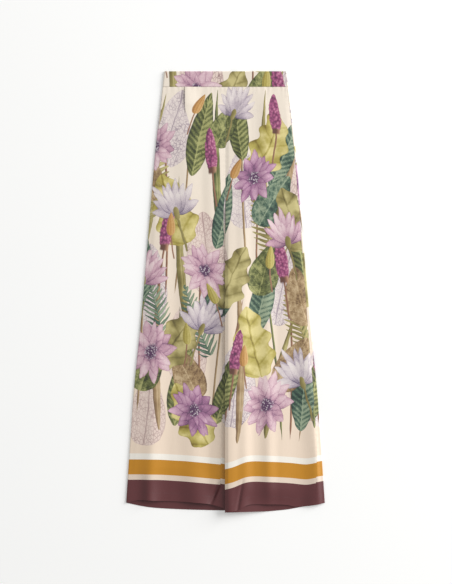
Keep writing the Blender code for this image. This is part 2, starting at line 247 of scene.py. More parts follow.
# Runs of columns. Each gives x, z, out and 0 for the front's hem line or 1 for the back's.
def spread(a, b, count, fromFirst=True):
    share = np.linspace(0, 1, count) if fromFirst else np.linspace(0, 1, count + 1)[1:]
    return a + (b - a) * share


def onTop(leg, x, down):
    opened = ease(belowTop(down) / belowTop(pleat["openBy"]))
    out = x * leg["side"]
    out = out + np.where(out > pleat["out"] + 1e-6, pleat["depth"] * (1 - opened), 0)
    return x, topZ(leg, x, down), out, np.zeros_like(x)


def below(leg, x, down):
    return x, floorZ(leg, x, down) + 0 * x, x * leg["side"], np.ones_like(x)


def roundOuter(leg, down, count, topFirst):
    centre = outerX(leg, down) - leg["side"] * edgeRadius
    angle = np.linspace(0, math.pi, count)
    angle = angle if topFirst else angle[::-1]
    x = centre + leg["side"] * edgeRadius * np.sin(angle)
    z = edgeRadius + edgeRadius * np.cos(angle) + 0 * x
    return x, z, np.abs(centre) + edgeRadius * angle, np.zeros_like(x)


def roundInner(leg, along, down, layer):        # along: from where the edge leaves the top, round to the back
    centre = innerX(leg, down) + leg["side"] * edgeRadius
    flatTop, flatBack = centre - leg["side"] * along, centre + leg["side"] * (along - halfRound)
    angle = np.clip(along / edgeRadius, 0, math.pi)
    roundX = centre - leg["side"] * edgeRadius * np.sin(angle)
    roundZ = floorZ(leg, centre, down) + edgeRadius + edgeRadius * np.cos(angle)
    x = np.where(along <= 0, flatTop, np.where(along >= halfRound, flatBack, roundX))
    z = np.where(along <= 0, topZ(leg, x, down), np.where(along >= halfRound, floorZ(leg, x, down), roundZ))
    # Up to the crotch the panels stay flat as far as the centre seam, and turn together just above it.
    fromSeam = (halfRound / 2 - along) * (1 if layer == "front" else -1)
    flatX = leg["side"] * fromSeam
    flatZ = topZ(leg, flatX, down) if layer == "front" else floorZ(leg, flatX, down)
    turned = np.clip(1 - (trousers["crotch"] - down) / stages["closing"], 0, 1)
    closed = 1 - np.sqrt(1 - turned ** 2)
    x, z = flatX + closed * (x - flatX), flatZ + closed * (z - flatZ)
    if layer == "front":
        out = leg["side"] * centre - along
    else:
        out = leg["side"] * centre + along - halfRound
    return x, z, out, np.full_like(x, 0 if layer == "front" else 1) * (along >= halfRound)


def innerSeamAlong(leg, down):
    if leg["side"] > 0:
        place = halfRound + trousers["underTurn"] - edgeRadius
    else:
        place = -(innerX(leg, down) - edgeRadius + read(innerSeam, down))
    share = ease((down - trousers["crotch"]) / (stages["seamSettled"] - trousers["crotch"]))
    return halfRound / 2 + share * (place - halfRound / 2)


halfGap = trousers["seamGap"] / 2
# how many columns each part of a panel has, and how much of the cloth beside a seam has close ones
counts = {"underTurn": 3, "turn": 8, "innerTurn": 7, "overSeam": 8, "inside": 34, "outside": 46, "under": 66}
besideSeam = {"frontRight": (0.0120, 11), "frontLeft": (0.0150, 15), "backLeft": (0.0060, 6)}
leastStep = 0.0002


def topRun(leg, a, b, count, down):
    return onTop(leg, spread(a, b, count), down)


def trimmed(run, first=0, last=0):      # without its first or last columns, which its neighbour has too
    return tuple(part[:, first:part.shape[1] - last] for part in run)


def pleatRun(leg, down):        # the fold's edge, tucked back over the layer beneath it
    side, height = leg["side"], pleatHeight(leg, down)
    folded = ease(height / pleat["foldedFrom"])
    foot = openTopZ(leg, side * (pleat["out"] + pleat["foot"]) + 0 * down, down)
    columns = []
    for flatAt, foldedAt, drop in pleatEdge:
        place = side * (pleat["out"] + flatAt + folded * (foldedAt - flatAt)) + 0 * down
        printedAt = onTop(leg, side * (pleat["out"] + (0 if drop < 0.5 else pleat["foot"])) + 0 * down, down)
        flat = openTopZ(leg, place, down)
        tucked = printedAt[1] if drop == 0 else foot + (1 - drop) * height
        columns.append((place, flat + folded * (tucked - flat), printedAt[2], printedAt[3]))
    return columns


def joinRuns(runs):
    return [np.concatenate([np.atleast_2d(run[k]) for run in runs], axis=1) for k in range(4)]


def frontRight(leg, down):
    edge = outerX(leg, down)
    flat = spread(edge + trousers["underTurn"], edge + edgeRadius + trousers["nearTurn"], counts["underTurn"])
    under = below(leg, flat, down)
    turn = roundOuter(leg, down, counts["turn"], False)
    foot = leg["side"] * (pleat["out"] + pleat["outsideStart"])
    outside = trimmed(topRun(leg, edge + edgeRadius, foot + 0 * down, counts["outside"], down), first=1)
    fold = pleatRun(leg, down)[::-1]
    near, count = besideSeam["frontRight"]
    atSeam = roundInner(leg, innerSeamAlong(leg, down) - halfGap - spread(near, 0, count), down, "front")
    crest = leg["side"] * (pleat["out"] - pleat["insideEnd"])
    inside = trimmed(topRun(leg, crest + 0 * down, atSeam[0][:, :1], counts["inside"], down), last=1)
    return joinRuns([under, turn, outside, *fold, inside, atSeam])


def backRight(leg, down):
    start = innerSeamAlong(leg, down) + halfGap
    onTopPart = spread(start, np.minimum(start, 0), counts["innerTurn"])
    roundPart = np.full_like(down, 1) * spread(0, halfRound, counts["innerTurn"])[1:]
    stops = np.concatenate([onTopPart, roundPart], axis=1)
    stops = np.maximum(stops, start + leastStep * np.arange(stops.shape[1]))
    turn = roundInner(leg, stops, down, "back")
    end = outerX(leg, down) + trousers["underTurn"] + trousers["seamGap"]
    across = below(leg, spread(turn[0][:, -1:], end, counts["under"], False), down)
    return joinRuns([turn, across])


def frontLeft(leg, down):
    near, count = besideSeam["frontLeft"]
    atSeam = roundInner(leg, innerSeamAlong(leg, down) - halfGap - spread(0, near, count), down, "front")
    crest = pleat["out"] - pleat["insideEnd"]
    inside = trimmed(topRun(leg, atSeam[0][:, -1:], crest + 0 * down, counts["inside"], down), first=1)
    fold = pleatRun(leg, down)
    seam = outerX(leg, down) - read(sideSeam, down)
    outside = topRun(leg, pleat["out"] + pleat["outsideStart"] + 0 * down, seam, counts["outside"], down)
    return joinRuns([atSeam, inside, *fold, outside])


def backLeft(leg, down):
    edge = outerX(leg, down)
    seam = edge - read(sideSeam, down) + trousers["seamGap"]
    centre = edge - edgeRadius
    over = list(onTop(leg, spread(seam, centre, counts["overSeam"]), down))
    over[2] = centre + halfRound + centre - over[0]
    turn = list(roundOuter(leg, down, counts["turn"], True))
    turn[2] = centre + halfRound - (turn[2] - np.abs(centre))
    near, count = besideSeam["backLeft"]
    atSeam = roundInner(leg, innerSeamAlong(leg, down) + halfGap + spread(near, 0, count), down, "back")
    across = below(leg, spread(centre, atSeam[0][:, :1], counts["under"], False), down)
    return joinRuns([trimmed(over, last=1), turn, trimmed(across, last=1), atSeam])


closeRows = {"belowTop": (0, 0.0007, 0.0016), "thenFrom": 0.003, "closing": 7, "belowCrotch": 0.002,
             "until": 0.004, "aboveHem": (0.0025, 0.0009, 0)}


def legRows():          # rows lie closer at the leg's top, round the crotch and at the hem
    top, crotch, hem, step = (trousers[key] for key in ("legTop", "crotch", "hem", "rowStep"))
    turning, settled = crotch - stages["closing"], stages["seamSettled"]
    parts = [top + np.array(closeRows["belowTop"]),
             np.arange(top + closeRows["thenFrom"], turning, step),
             np.linspace(turning, crotch, closeRows["closing"]),
             np.arange(crotch + closeRows["belowCrotch"], settled, closeRows["belowCrotch"]),
             np.arange(settled, hem - closeRows["until"], step),
             hem - np.array(closeRows["aboveHem"])]
    return np.unique(np.round(np.concatenate(parts), 6))[:, None]


def fromEnds(x, z):             # distance along each row from its first and from its last column
    step = np.hypot(np.diff(x, axis=1), np.diff(z, axis=1))
    travelled = np.concatenate([np.zeros((len(x), 1)), np.cumsum(step, axis=1)], axis=1)
    return travelled, travelled[:, -1:] - travelled


def rollIn(x, z, amount, reach):        # rolls the cloth inwards at its two seams
    dx, dz = np.gradient(x, axis=1), np.gradient(z, axis=1)
    length = np.hypot(dx, dz) + 1e-12
    first, last = fromEnds(x, z)
    roll = amount * (np.exp(-(first / reach) ** 2) + np.exp(-(last / reach) ** 2))
    return x + roll * dz / length, z - roll * dx / length


pucker = {"height": 0.00022, "wave": 0.0135, "uneven": 1.6, "reach": 0.0075, "waistReach": 0.011}


def puckers(along, away, reach):        # small gathers of the sewing, which fade away from the seam
    uneven = np.sin(along * 71 + 1.3) + 0.6 * np.sin(along * 173)       # two waves that seldom meet
    waves = np.sin(along / pucker["wave"] * 2 * math.pi + pucker["uneven"] * uneven)
    return pucker["height"] * np.exp(-away / reach) * waves


def makeShell(name, x, y, z):
    rows, columns = x.shape
    points = np.stack([x, y, z], axis=-1).reshape(-1, 3)
    index = np.arange(rows * columns).reshape(rows, columns)
    faces = np.stack([index[:-1, :-1], index[1:, :-1], index[1:, 1:], index[:-1, 1:]], axis=-1).reshape(-1, 4)
    mesh = bpy.data.meshes.new(name)
    mesh.from_pydata(points.tolist(), [], faces.tolist())
    mesh.shade_smooth()
    shell = bpy.data.objects.new(name, mesh)
    bpy.context.scene.collection.objects.link(shell)
    return shell


def thicken(shell, wall):
    made = shell.modifiers.new("wall", "SOLIDIFY")
    made.thickness = wall
    made.offset = -1
    bpy.ops.object.select_all(action="DESELECT")
    shell.select_set(True)
    bpy.context.view_layer.objects.active = shell
    bpy.ops.object.modifier_apply(modifier=made.name)
    bpy.ops.object.shade_smooth_by_angle(angle=math.radians(trousers["smoothBelow"]))


# how much thinner the left leg is pressed along its inner edge and across its hem
press = {"edge": 0.42, "edgeReach": 0.009, "edgeGrows": 0.10, "hem": 0.50, "hemFrom": 1.040,
         "hemGrows": 0.045, "hemInner": 0.035, "hemOuter": 0.185, "hemSoft": 0.03}
# how far its cut edges roll in
rolls = {"seam": 0.00014, "seamReach": 0.0010, "waist": 0.00022, "waistReach": 0.0014}


def puffUnderOther(x, z, down):         # the right leg's inner side
    bank = bankHeight(down) * np.clip(1 + x / overlap["bankWidth"], 0, 1) ** overlap["bankShape"]
    return z + bank * np.clip(z / trousers["legHeight"], 0, 1)


def pressThinner(leg, x, z, down):
    onLeg = ease((down - stages["lifted"]) / press["edgeGrows"])
    pressed = 1 - press["edge"] * onLeg * (1 - ease((x - overlap["innerEdge"]) / press["edgeReach"]))
    atHem = ease((down - press["hemFrom"]) / press["hemGrows"])
    atHem = atHem * ease((x - press["hemInner"]) / press["hemSoft"])
    atHem = atHem * (1 - ease((x - press["hemOuter"]) / press["hemSoft"]))
    pressed = pressed * (1 - press["hem"] * atHem)
    return floorZ(leg, x, down) + (z - floorZ(leg, x, down)) * pressed


def makeLegPanel(name, leg, section):
    down = legRows()
    x, z, out, isBack = section(leg, down)
    share = ease((down - trousers["hemFreeFrom"]) / (trousers["hem"] - trousers["hemFreeFrom"]))
    hemLine = np.where(isBack > 0.5, read(leg["backHem"], x), read(leg["frontHem"], x))
    lies = down + share * (hemLine - trousers["hem"])
    z = puffUnderOther(x, z, down) if leg["side"] < 0 else pressThinner(leg, x, z, down)
    x, z = rollIn(x, z, rolls["seam"], rolls["seamReach"])
    first, last = fromEnds(x, z)
    toSide, toWaist = np.minimum(first, last), belowTop(down)
    waistRoll = rolls["waist"] * np.exp(-(toWaist / rolls["waistReach"]) ** 2)
    gathers = puckers(down, toSide, pucker["reach"]) + puckers(x, toWaist, pucker["waistReach"])
    z = z + (gathers - waistRoll) * np.where(isBack > 0.5, -1, 1)
    z = np.maximum(z, 0)
    panel = makeShell(name, x, trousers["waistY"] - lies, z)
    readsBack = (isBack > 0.5) | name.startswith("back")
    borderLine = np.where(readsBack, read(leg["backBorder"], x), read(leg["frontBorder"], x))
    addValue(panel, "border", lies - borderLine)
    addValue(panel, "toSeam", np.minimum(toSide, toWaist))
    addValue(panel, "toHem", hemLine - lies)
    return panel, out, down + 0 * x


def addValue(piece, name, values):
    made = piece.data.attributes.new(name, "FLOAT", "POINT")
    made.data.foreach_set("value", np.ascontiguousarray(values, dtype=np.float32).ravel())


panels = {}
sections = {"frontRightCloth": (rightLeg, frontRight), "backRightCloth": (rightLeg, backRight),
            "frontLeftCloth": (leftLeg, frontLeft), "backLeftCloth": (leftLeg, backLeft)}
for name, (leg, section) in sections.items():
    panels[name] = makeLegPanel(name, leg, section)
    print("made", name, len(panels[name][0].data.vertices))


waistband = {
    "depth": 0.0387,
    "height": 0.0046,
    "wall": 0.0019,
    "rows": ([0, 0.0003, 0.0008, 0.0016], np.linspace(0.0032, 0.0355, 13), [0.0372, 0.0381, 0.0386]),
    "turnCount": 9,             # columns round the edge, at its two sides and across the width
    "sideCounts": (3, 4),
    "acrossCount": 110,
    "seamRoll": 0.0004,
    "seamRollReach": 0.0013,
    "topRoll": 0.0010,          # how far the folded upper edge curves down
    "topRollReach": 0.0016,
    "footRoll": 0.00045,        # the same at the seam with the legs
    "footRollReach": 0.0011,
}


def makeWaistband(name, isFront):
    down = np.concatenate(waistband["rows"])[:, None]
    half, radius = read(widths, down), waistband["height"] / 2
    seam = half - read(sideSeam, down)
    angle = np.linspace(0, math.pi, waistband["turnCount"])
    edgeX, edgeZ = radius * (np.sin(angle) - 1), radius * (1 + np.cos(angle))
    (under, over), across = waistband["sideCounts"], waistband["acrossCount"]
    if isFront:         # from under the right edge, round it and over the top to the left side seam
        xParts = [spread(trousers["underTurn"] - half, radius - half, under), (-half - edgeX[::-1])[:, 1:],
                  spread(radius - half, seam, across, False)]
        zParts = [0, edgeZ[::-1][1:], 2 * radius]
    else:               # from the left side seam round the left edge and under to the right edge
        end = trousers["underTurn"] + trousers["seamGap"] - half
        xParts = [spread(seam + trousers["seamGap"], half - radius, over), (half + edgeX)[:, 1:],
                  spread(half - radius, end, across, False)]
        zParts = [2 * radius, edgeZ[1:], 0]
    x = np.concatenate(xParts, axis=1)
    z = np.concatenate([0 * part + height for part, height in zip(xParts, zParts)], axis=1)
    x, z = rollIn(x, z, waistband["seamRoll"], waistband["seamRollReach"])
    rounded = np.clip(1 - (1 - down / waistband["topRollReach"]) ** 2, 0, 1)
    roll = waistband["topRoll"] * (1 - np.sqrt(rounded)) * (down < waistband["topRollReach"])
    toFoot = (waistband["depth"] - down) / waistband["footRollReach"]
    roll = roll + waistband["footRoll"] * np.exp(-toFoot ** 2)
    z = np.clip(z, 0, None) + roll * np.where(z > radius, -1, 0)
    band = makeShell(name, x, trousers["waistY"] - down + 0 * x, z)
    addValue(band, "border", down + 0 * x - 1)      # always above the border
    addValue(band, "toSeam", waistband["depth"] - down + 0 * x)
    addValue(band, "toHem", 1 + 0 * x)
    return band, x, down + 0 * x


for name, isFront in (("waistbandFrontCloth", True), ("waistbandBackCloth", False)):
    panels[name] = makeWaistband(name, isFront)
print("made the waistband")


# The print: a garden of made-up flowers and leaves in layers, the first lowest. Each motif is x, down,
# length, half width, lean in degrees, bend, kind of colour. Its foot is at x, down, but a cup or a bloom
# has its middle there. Millimetres.
garden = {
    "ghostLeaf": [(-148, 238, 190, 54, 8, -.3, 0), (-24, 560, 210, 56, -14, .3, 1),
                  (-214, 650, 220, 56, 10, -.2, 0), (-88, 788, 200, 52, -10, .3, 1),
                  (62, 398, 200, 50, -8, .3, 0), (182, 320, 190, 50, 14, -.2, 1),
                  (132, 640, 210, 54, 10, .2, 0), (222, 880, 200, 50, -6, .2, 1),
                  (22, 890, 205, 54, 8, -.2, 0), (-206, 944, 180, 48, 10, -.3, 1)],
    "stem": [(-150, 560, 420, 3.0, 3, -9, 0), (-128, 560, 390, 2.6, 8, -6, 1),
             (-84, 930, 345, 3.0, -9, 8, 2), (-60, 930, 470, 3.2, -3, 8, 0), (-38, 930, 430, 2.8, 3, 9, 1),
             (64, 520, 430, 3.0, -5, 8, 1), (86, 520, 400, 2.6, 0, 8, 0), (150, 930, 440, 3.2, -3, -8, 2),
             (170, 930, 410, 3.0, 3, -8, 0), (192, 930, 350, 2.6, 8, -8, 1),
             (-222, 860, 420, 3.0, 5, -8, 1), (8, 880, 310, 3.0, 4, 8, 0), (214, 540, 400, 3.0, -4, 6, 0)],
    "blade": [(-198, 430, 380, 11, 8, -3, 0), (-166, 900, 430, 11, -5, 4, 1), (-12, 420, 380, 11, -6, 3, 2),
              (-238, 760, 280, 10, 5, 3, 2), (-96, 640, 380, 11, -8, 3, 0), (38, 930, 460, 11, 5, -4, 1),
              (116, 430, 380, 10, -7, 4, 0), (232, 900, 400, 11, -3, -3, 2), (108, 925, 325, 11, 8, 3, 0),
              (166, 300, 260, 10, 4, 3, 1)],
    "frond": [(-204, 372, 190, 40, 20, -.5, 1), (-36, 712, 190, 38, -26, .5, 0),
              (150, 486, 190, 38, -28, .5, 1), (-160, 652, 165, 34, -10, -.4, 0),
              (218, 700, 170, 36, -24, .4, 1)],
    "lanceLeaf": [(-84, 262, 215, 30, 10, .4, 0), (-204, 574, 210, 30, -6, .4, 1),
                  (-24, 446, 190, 27, 16, -.4, 1), (-128, 890, 215, 31, 8, .4, 0),
                  (52, 230, 185, 27, -10, .4, 0), (206, 520, 210, 30, -10, .4, 0),
                  (78, 668, 205, 30, 16, -.4, 1), (196, 905, 200, 30, 6, -.4, 1),
                  (122, 300, 190, 28, 20, .4, 1), (-24, 880, 190, 28, 18, .4, 0)],
    "roundLeaf": [(-176, 322, 150, 40, -22, .3, 1), (-40, 628, 150, 40, 26, .3, 2),
                  (-214, 800, 150, 41, 18, -.3, 0), (94, 392, 145, 40, 26, .3, 2),
                  (214, 640, 150, 41, -18, .3, 1), (-64, 820, 145, 40, -30, .3, 1),
                  (92, 566, 138, 40, 12, .3, 0), (146, 806, 150, 41, 22, .3, 1),
                  (-26, 190, 130, 36, 26, .3, 0)],
    "lobedLeaf": [(-96, 430, 185, 58, -26, .3, 0), (-168, 742, 180, 56, 30, .3, 1),
                  (84, 262, 170, 52, 30, -.3, 0), (206, 452, 165, 52, -24, .2, 1),
                  (100, 770, 180, 56, -18, .3, 0), (-42, 935, 175, 54, -34, .3, 0),
                  (-4, 596, 165, 50, 18, .3, 1)],
    "spike": [(-22, 340, 200, 19, -8, .5, 0), (-166, 540, 215, 20, 6, .5, 0),
              (168, 628, 215, 20, -6, -.4, 0), (18, 850, 200, 19, 6, .4, 0), (126, 240, 180, 18, 8, .4, 0)],
    "cup": [(-124, 350, 108, 74, -16, 0, 0), (-206, 520, 100, 70, 14, 0, 1), (-58, 640, 104, 72, 18, 0, 0),
            (164, 430, 106, 74, -14, 0, 1), (200, 780, 108, 74, -16, 0, 0), (30, 110, 96, 66, 16, 0, 0)],
    "bloom": [(-176, 190, 76, 60, 24, 0, 0), (-52, 498, 84, 62, -30, 0, 0), (-186, 700, 92, 72, 20, 0, 0),
              (-78, 850, 84, 66, -24, 0, 1), (80, 272, 80, 60, 30, 0, 1), (112, 840, 92, 70, 16, 0, 0)],
    "bud": [(-96, 160, 110, 12, 14, 1.6, 0), (-8, 640, 116, 12, -10, -1.6, 1),
            (-230, 470, 104, 12, 12, 1.4, 0), (-128, 470, 116, 12, -12, 1.4, 0),
            (-104, 740, 110, 12, 12, -1.4, 1), (12, 330, 110, 12, 10, 1.4, 0),
            (126, 560, 116, 12, -10, 1.4, 1), (232, 420, 104, 12, -10, -1.4, 0),
            (62, 800, 110, 12, -12, 1.5, 0)],
}


# a motif is drawn this far outside its outline, where the next one is this much further off
around = {"reach": 0.006, "apart": 0.007}


def outsideOf(isFlower, p, q, length, halfWidth):       # distance to a rounded outline round the motif
    u, power = (p, 2) if isFlower else (2 * p - 1, 3)
    halfLength = length / (1000 if isFlower else 2000)
    s = (np.abs(u) ** power + np.abs(q) ** power) ** (1 / power) + 1e-9
    slope = np.hypot((np.abs(u) / s) ** (power - 1) / halfLength,
                     (np.abs(q) / s) ** (power - 1) / halfWidth * 1000)
    outside = (s - 1) / slope
    beyond = np.hypot(np.maximum(np.abs(u) - 1, 0) * halfLength,
                      np.maximum(np.abs(q) - 1, 0) * halfWidth / 1000)
    return np.where(beyond > 0, np.maximum(outside, beyond), outside)


def placeMotifs(panel, clothX, down):       # each layer's attribute: along, across, kind, and 1 near a motif
    for layer, motifs in garden.items():
        nearest, second = np.full(clothX.shape, 9.0), np.full(clothX.shape, 9.0)
        found = np.zeros((*clothX.shape, 3))
        for number, (atX, atDown, length, halfWidth, lean, bend, kind) in enumerate(motifs):
            turn = math.radians(lean)
            dx, dy = clothX - atX / 1000, atDown / 1000 - down
            p = (dx * math.sin(turn) + dy * math.cos(turn)) / length * 1000
            q = (dx * math.cos(turn) - dy * math.sin(turn)) / halfWidth * 1000 - bend * p * p
            outside = outsideOf(layer in ("bloom", "cup"), p, q, length, halfWidth)
            chosen = outside < nearest
            second = np.where(chosen, nearest, np.minimum(second, outside))
            nearest = np.where(chosen, outside, nearest)
            seed = 0.15 + 0.7 * (number * 0.618 % 1)        # the motif's own number, between 0 and 1
            motif = np.stack([p, q, np.full_like(p, kind + seed)], axis=-1)
            found = np.where(chosen[..., None], motif, found)
        near = (nearest < around["reach"]) & (second - nearest > around["apart"])
        values = np.concatenate([found, near[..., None] * 1.0], axis=-1)
        made = panel.data.attributes.new(layer, "FLOAT_COLOR", "POINT")
        made.data.foreach_set("color", np.ascontiguousarray(values, dtype=np.float32).ravel())


def tone(red, green, blue):     # a display colour, 0 to 255, as linear light
    shares = (red / 255, green / 255, blue / 255)
    return (*(((share + 0.055) / 1.055) ** 2.4 for share in shares), 1)


dyes = {        # dark, middle and light of each ink
    "green": (tone(50, 56, 32), tone(100, 106, 58), tone(168, 168, 108)),
    "teal": (tone(32, 54, 48), tone(78, 104, 86), tone(152, 166, 138)),
    "olive": (tone(96, 86, 44), tone(146, 134, 78), tone(196, 184, 126)),
    "lime": (tone(124, 106, 40), tone(178, 164, 82), tone(220, 206, 140)),
    "bronze": (tone(108, 82, 56), tone(160, 132, 94), tone(202, 178, 140)),
    "brown": (tone(96, 62, 50), tone(146, 104, 80), tone(196, 156, 124)),
    "mauve": (tone(104, 62, 98), tone(194, 152, 168), tone(230, 206, 208)),
    "plum": (tone(86, 54, 88), tone(162, 112, 146), tone(214, 176, 194)),
    "lilac": (tone(92, 78, 108), tone(190, 176, 184), tone(230, 220, 216)),
    "magenta": (tone(90, 42, 74), tone(156, 76, 118), tone(206, 140, 164)),
    "ochre": (tone(134, 88, 46), tone(194, 144, 80), tone(226, 190, 132)),
    "ghost": (tone(138, 120, 136), tone(216, 202, 200), tone(232, 220, 213)),
    "rose": (tone(158, 128, 126), tone(216, 194, 184), tone(230, 212, 200)),
}


class Amount:       # a number that changes over the surface
    def __init__(self, paint, socket):
        self.paint, self.socket = paint, socket

    def calc(self, operation, *others):
        made = self.paint.node("ShaderNodeMath", {"operation": operation}, dict(enumerate((self, *others))))
        return Amount(self.paint, made.outputs[0])

    def __add__(self, other):
        return self.calc("ADD", other)

    def __sub__(self, other):
        return self.calc("SUBTRACT", other)

    def __mul__(self, other):
        return self.calc("MULTIPLY", other)

    def __truediv__(self, other):
        return self.calc("DIVIDE", other)

    def __pow__(self, other):
        return self.atLeast(0).calc("POWER", other)

    def __rsub__(self, other):
        return self * -1 + other

    def __neg__(self):
        return self * -1

    def __abs__(self):
        return self.calc("ABSOLUTE")

    def atLeast(self, other):
        return self.calc("MAXIMUM", other)

    def atMost(self, other):
        return self.calc("MINIMUM", other)

    def sine(self):
        return self.calc("SINE")

    def fraction(self):
        return self.calc("FRACT")

    def whole(self):
        return self.calc("FLOOR")

    __radd__, __rmul__ = __add__, __mul__


class Paint:        # one material's nodes
    def __init__(self, name):
        self.material = bpy.data.materials.new(name)
        self.material.use_nodes = True
        self.tree = self.material.node_tree
        self.tree.nodes.clear()

    def node(self, kind, settings=None, values=None):
        made = self.tree.nodes.new(kind)
        for key, value in (settings or {}).items():
            if key == "stops":
                ramp = made.color_ramp
                while len(ramp.elements) < len(value):
                    ramp.elements.new(1)
                for element, (at, colour) in zip(ramp.elements, value):
                    element.position, element.color = at, colour
            elif key == "ramp":
                made.color_ramp.interpolation = value
            else:
                setattr(made, key, value)
        for key, value in (values or {}).items():
            value = value.socket if isinstance(value, Amount) else value
            if isinstance(value, bpy.types.NodeSocket):
                self.tree.links.new(value, made.inputs[key])
            else:
                made.inputs[key].default_value = value
        return made

    def amount(self, name):
        return Amount(self, self.node("ShaderNodeAttribute", {"attribute_name": name}).outputs["Fac"])

    def step(self, value, low, high):       # 0 below low, 1 above high, soft between
        made = self.node("ShaderNodeMapRange", {"interpolation_type": "SMOOTHSTEP", "clamp": False},
                         {"Value": value, "From Min": low, "From Max": high})
        return Amount(self, made.outputs["Result"])

    def mix(self, share, below, above, kind="MIX"):
        made = self.node("ShaderNodeMix", {"data_type": "RGBA", "blend_type": kind, "clamp_factor": True},
                         {0: share, 6: below, 7: above})
        return made.outputs[2]

    def ramp(self, share, stops):       # the colour of the last stop that share has passed
        return self.node("ShaderNodeValToRGB", {"stops": stops, "ramp": "CONSTANT"}, {0: share}).outputs[0]

    def stretched(self, place, scale):
        made = self.node("ShaderNodeMapping", {"vector_type": "POINT"}, {"Vector": place, "Scale": scale})
        return made.outputs[0]

    def noise(self, place, scale, detail):
        made = self.node("ShaderNodeTexNoise", {}, {"Vector": place, "Scale": scale, "Detail": detail})
        return Amount(self, made.outputs[0])

    def cells(self, place, scale, feature="F1"):
        made = self.node("ShaderNodeTexVoronoi", {"feature": feature}, {"Vector": place, "Scale": scale})
        return Amount(self, made.outputs["Distance"])

    def chance(self, x, y):     # a number from 0 to 1 for each pair of whole numbers
        made = self.node("ShaderNodeTexWhiteNoise", {"noise_dimensions": "1D"}, {"W": x + y * 0.3719})
        return Amount(self, made.outputs["Value"])

    def layer(self, name):      # along, across and kind of a layer's nearest motif, and 1 near it
        made = self.node("ShaderNodeAttribute", {"attribute_name": name})
        parts = self.node("ShaderNodeSeparateColor", {}, {0: made.outputs["Color"]}).outputs
        return (*(Amount(self, part) for part in parts), Amount(self, made.outputs["Alpha"]))

    def ink(self, kind, names, shade):      # from dark through middle to light as shade goes from 0 to 1
        count = len(names)
        tones = []
        for k in range(3):
            stops = [(number / count, dyes[name][k]) for number, name in enumerate(names)]
            tones.append(self.ramp(kind / count, stops) if count > 1 else stops[0][1])
        lower = self.mix((shade * 2).atMost(1), tones[0], tones[1])
        return self.mix((shade * 2 - 1).atLeast(0), lower, tones[2])


strokes = {"wash": 26, "pencil": 330, "shake": 42}      # how fine each is
satin = Paint("printedSatin")
place = satin.node("ShaderNodeTexCoord").outputs["Object"]
wash = satin.noise(place, strokes["wash"], 3) - 0.5             # watercolour mottling
pencil = satin.noise(place, strokes["pencil"], 1) - 0.5         # fine strokes
shake = satin.node("ShaderNodeTexNoise", {}, {"Vector": place, "Scale": strokes["shake"], "Detail": 3})
shake = satin.node("ShaderNodeSeparateColor", {}, {0: shake.outputs["Color"]}).outputs
shakeP, shakeQ = Amount(satin, shake[0]) - 0.5, Amount(satin, shake[1]) - 0.5       # a hand's shake


def leafWidth(p, early, full):      # a leaf's half width at p along it
    return ((p.atMost(1) ** early) * math.pi).sine().atLeast(0.0001) ** full


def inside(t, width, soft):     # 1 inside a leaf, none where it has closed
    return satin.step(1 - abs(t), 0, soft) * satin.step(width, 0.02, 0.06)


def line(value, at, halfWidth):         # 1 on a line where the value passes "at"
    return 1 - satin.step(abs(value - at), halfWidth * 0.4, halfWidth)


def sideRibs(p, t, count, sweep, thin):     # 1 on the ribs that leave a leaf's middle
    across = abs((p * count - abs(t) * sweep).fraction() - 0.5)
    return satin.step(across, 0.5 - thin, 0.5)


def drawGhostLeaf(p, q, kind):
    width = leafWidth(p, 0.72, 0.60)
    t = q / width
    net = satin.cells(satin.stretched(place, (1, 0.62, 0.3)), 150, "DISTANCE_TO_EDGE")
    lines = (1 - satin.step(net, 0.03, 0.12)) * (0.75 + shakeP * 1.4)
    lines = lines.atLeast(sideRibs(p, t, 8, 1.1, 0.07) * 0.8).atLeast(line(q, 0, 0.045))
    lines = lines.atLeast(satin.step(abs(t), 0.93, 0.99) * 0.8)
    shade = 0.86 + wash * 0.5 - lines * 0.66 - satin.step(t, -0.1, 0.9) * 0.12
    return satin.ink(kind, ("ghost", "rose"), shade), inside(t, width, 0.03)


def drawStem(p, q, kind):
    slender = 1 - satin.step(p, 0.10, 0) * 0.75 - satin.step(p, 0.85, 1) * 0.7
    mask = satin.step(slender - abs(q), 0, 0.3) * satin.step(p, 0, 0.01) * satin.step(1 - p, 0, 0.01)
    return satin.ink(kind, ("brown", "bronze", "green"), 0.45 + q * 0.5 + wash), mask


def drawBlade(p, q, kind):
    width = leafWidth(p, 0.62, 0.9)
    t = q / width
    stripes = satin.step(abs((t * 2.4).fraction() - 0.5), 0.25, 0.5)
    shade = 0.52 + t * 0.42 + wash * 1.2 + line(t, 0.08, 0.2) * 0.3 - stripes * 0.2
    shade = shade - satin.step(abs(t), 0.7, 1) * 0.35
    return satin.ink(kind, ("olive", "bronze", "green"), shade), inside(t, width, 0.15)


def drawFrond(p, q, kind):
    width = leafWidth(p * 0.94 + 0.06, 0.8, 0.7)
    t = abs(q) / width
    side = satin.step(q, -0.01, 0.01)
    s = p * 12 - abs(q) * 2.3 + side * 0.5
    leaflet = abs(s.fraction() - 0.5) * 2
    blades = satin.step((1 - t).atLeast(0) ** 0.5 * 0.88 - leaflet, 0, 0.1) * satin.step(width, 0.02, 0.06)
    stalk = line(q, 0, 0.045)
    shade = 0.5 - leaflet * 0.45 + side * 0.2 + wash + satin.chance(s.whole(), kind.whole()) * 0.3
    mask = (blades * satin.step(1 - t, 0, 0.05)).atLeast(stalk * satin.step(1 - p, 0.02, 0.05))
    return satin.ink(kind, ("teal", "olive"), shade), mask * satin.step(p, 0, 0.02)


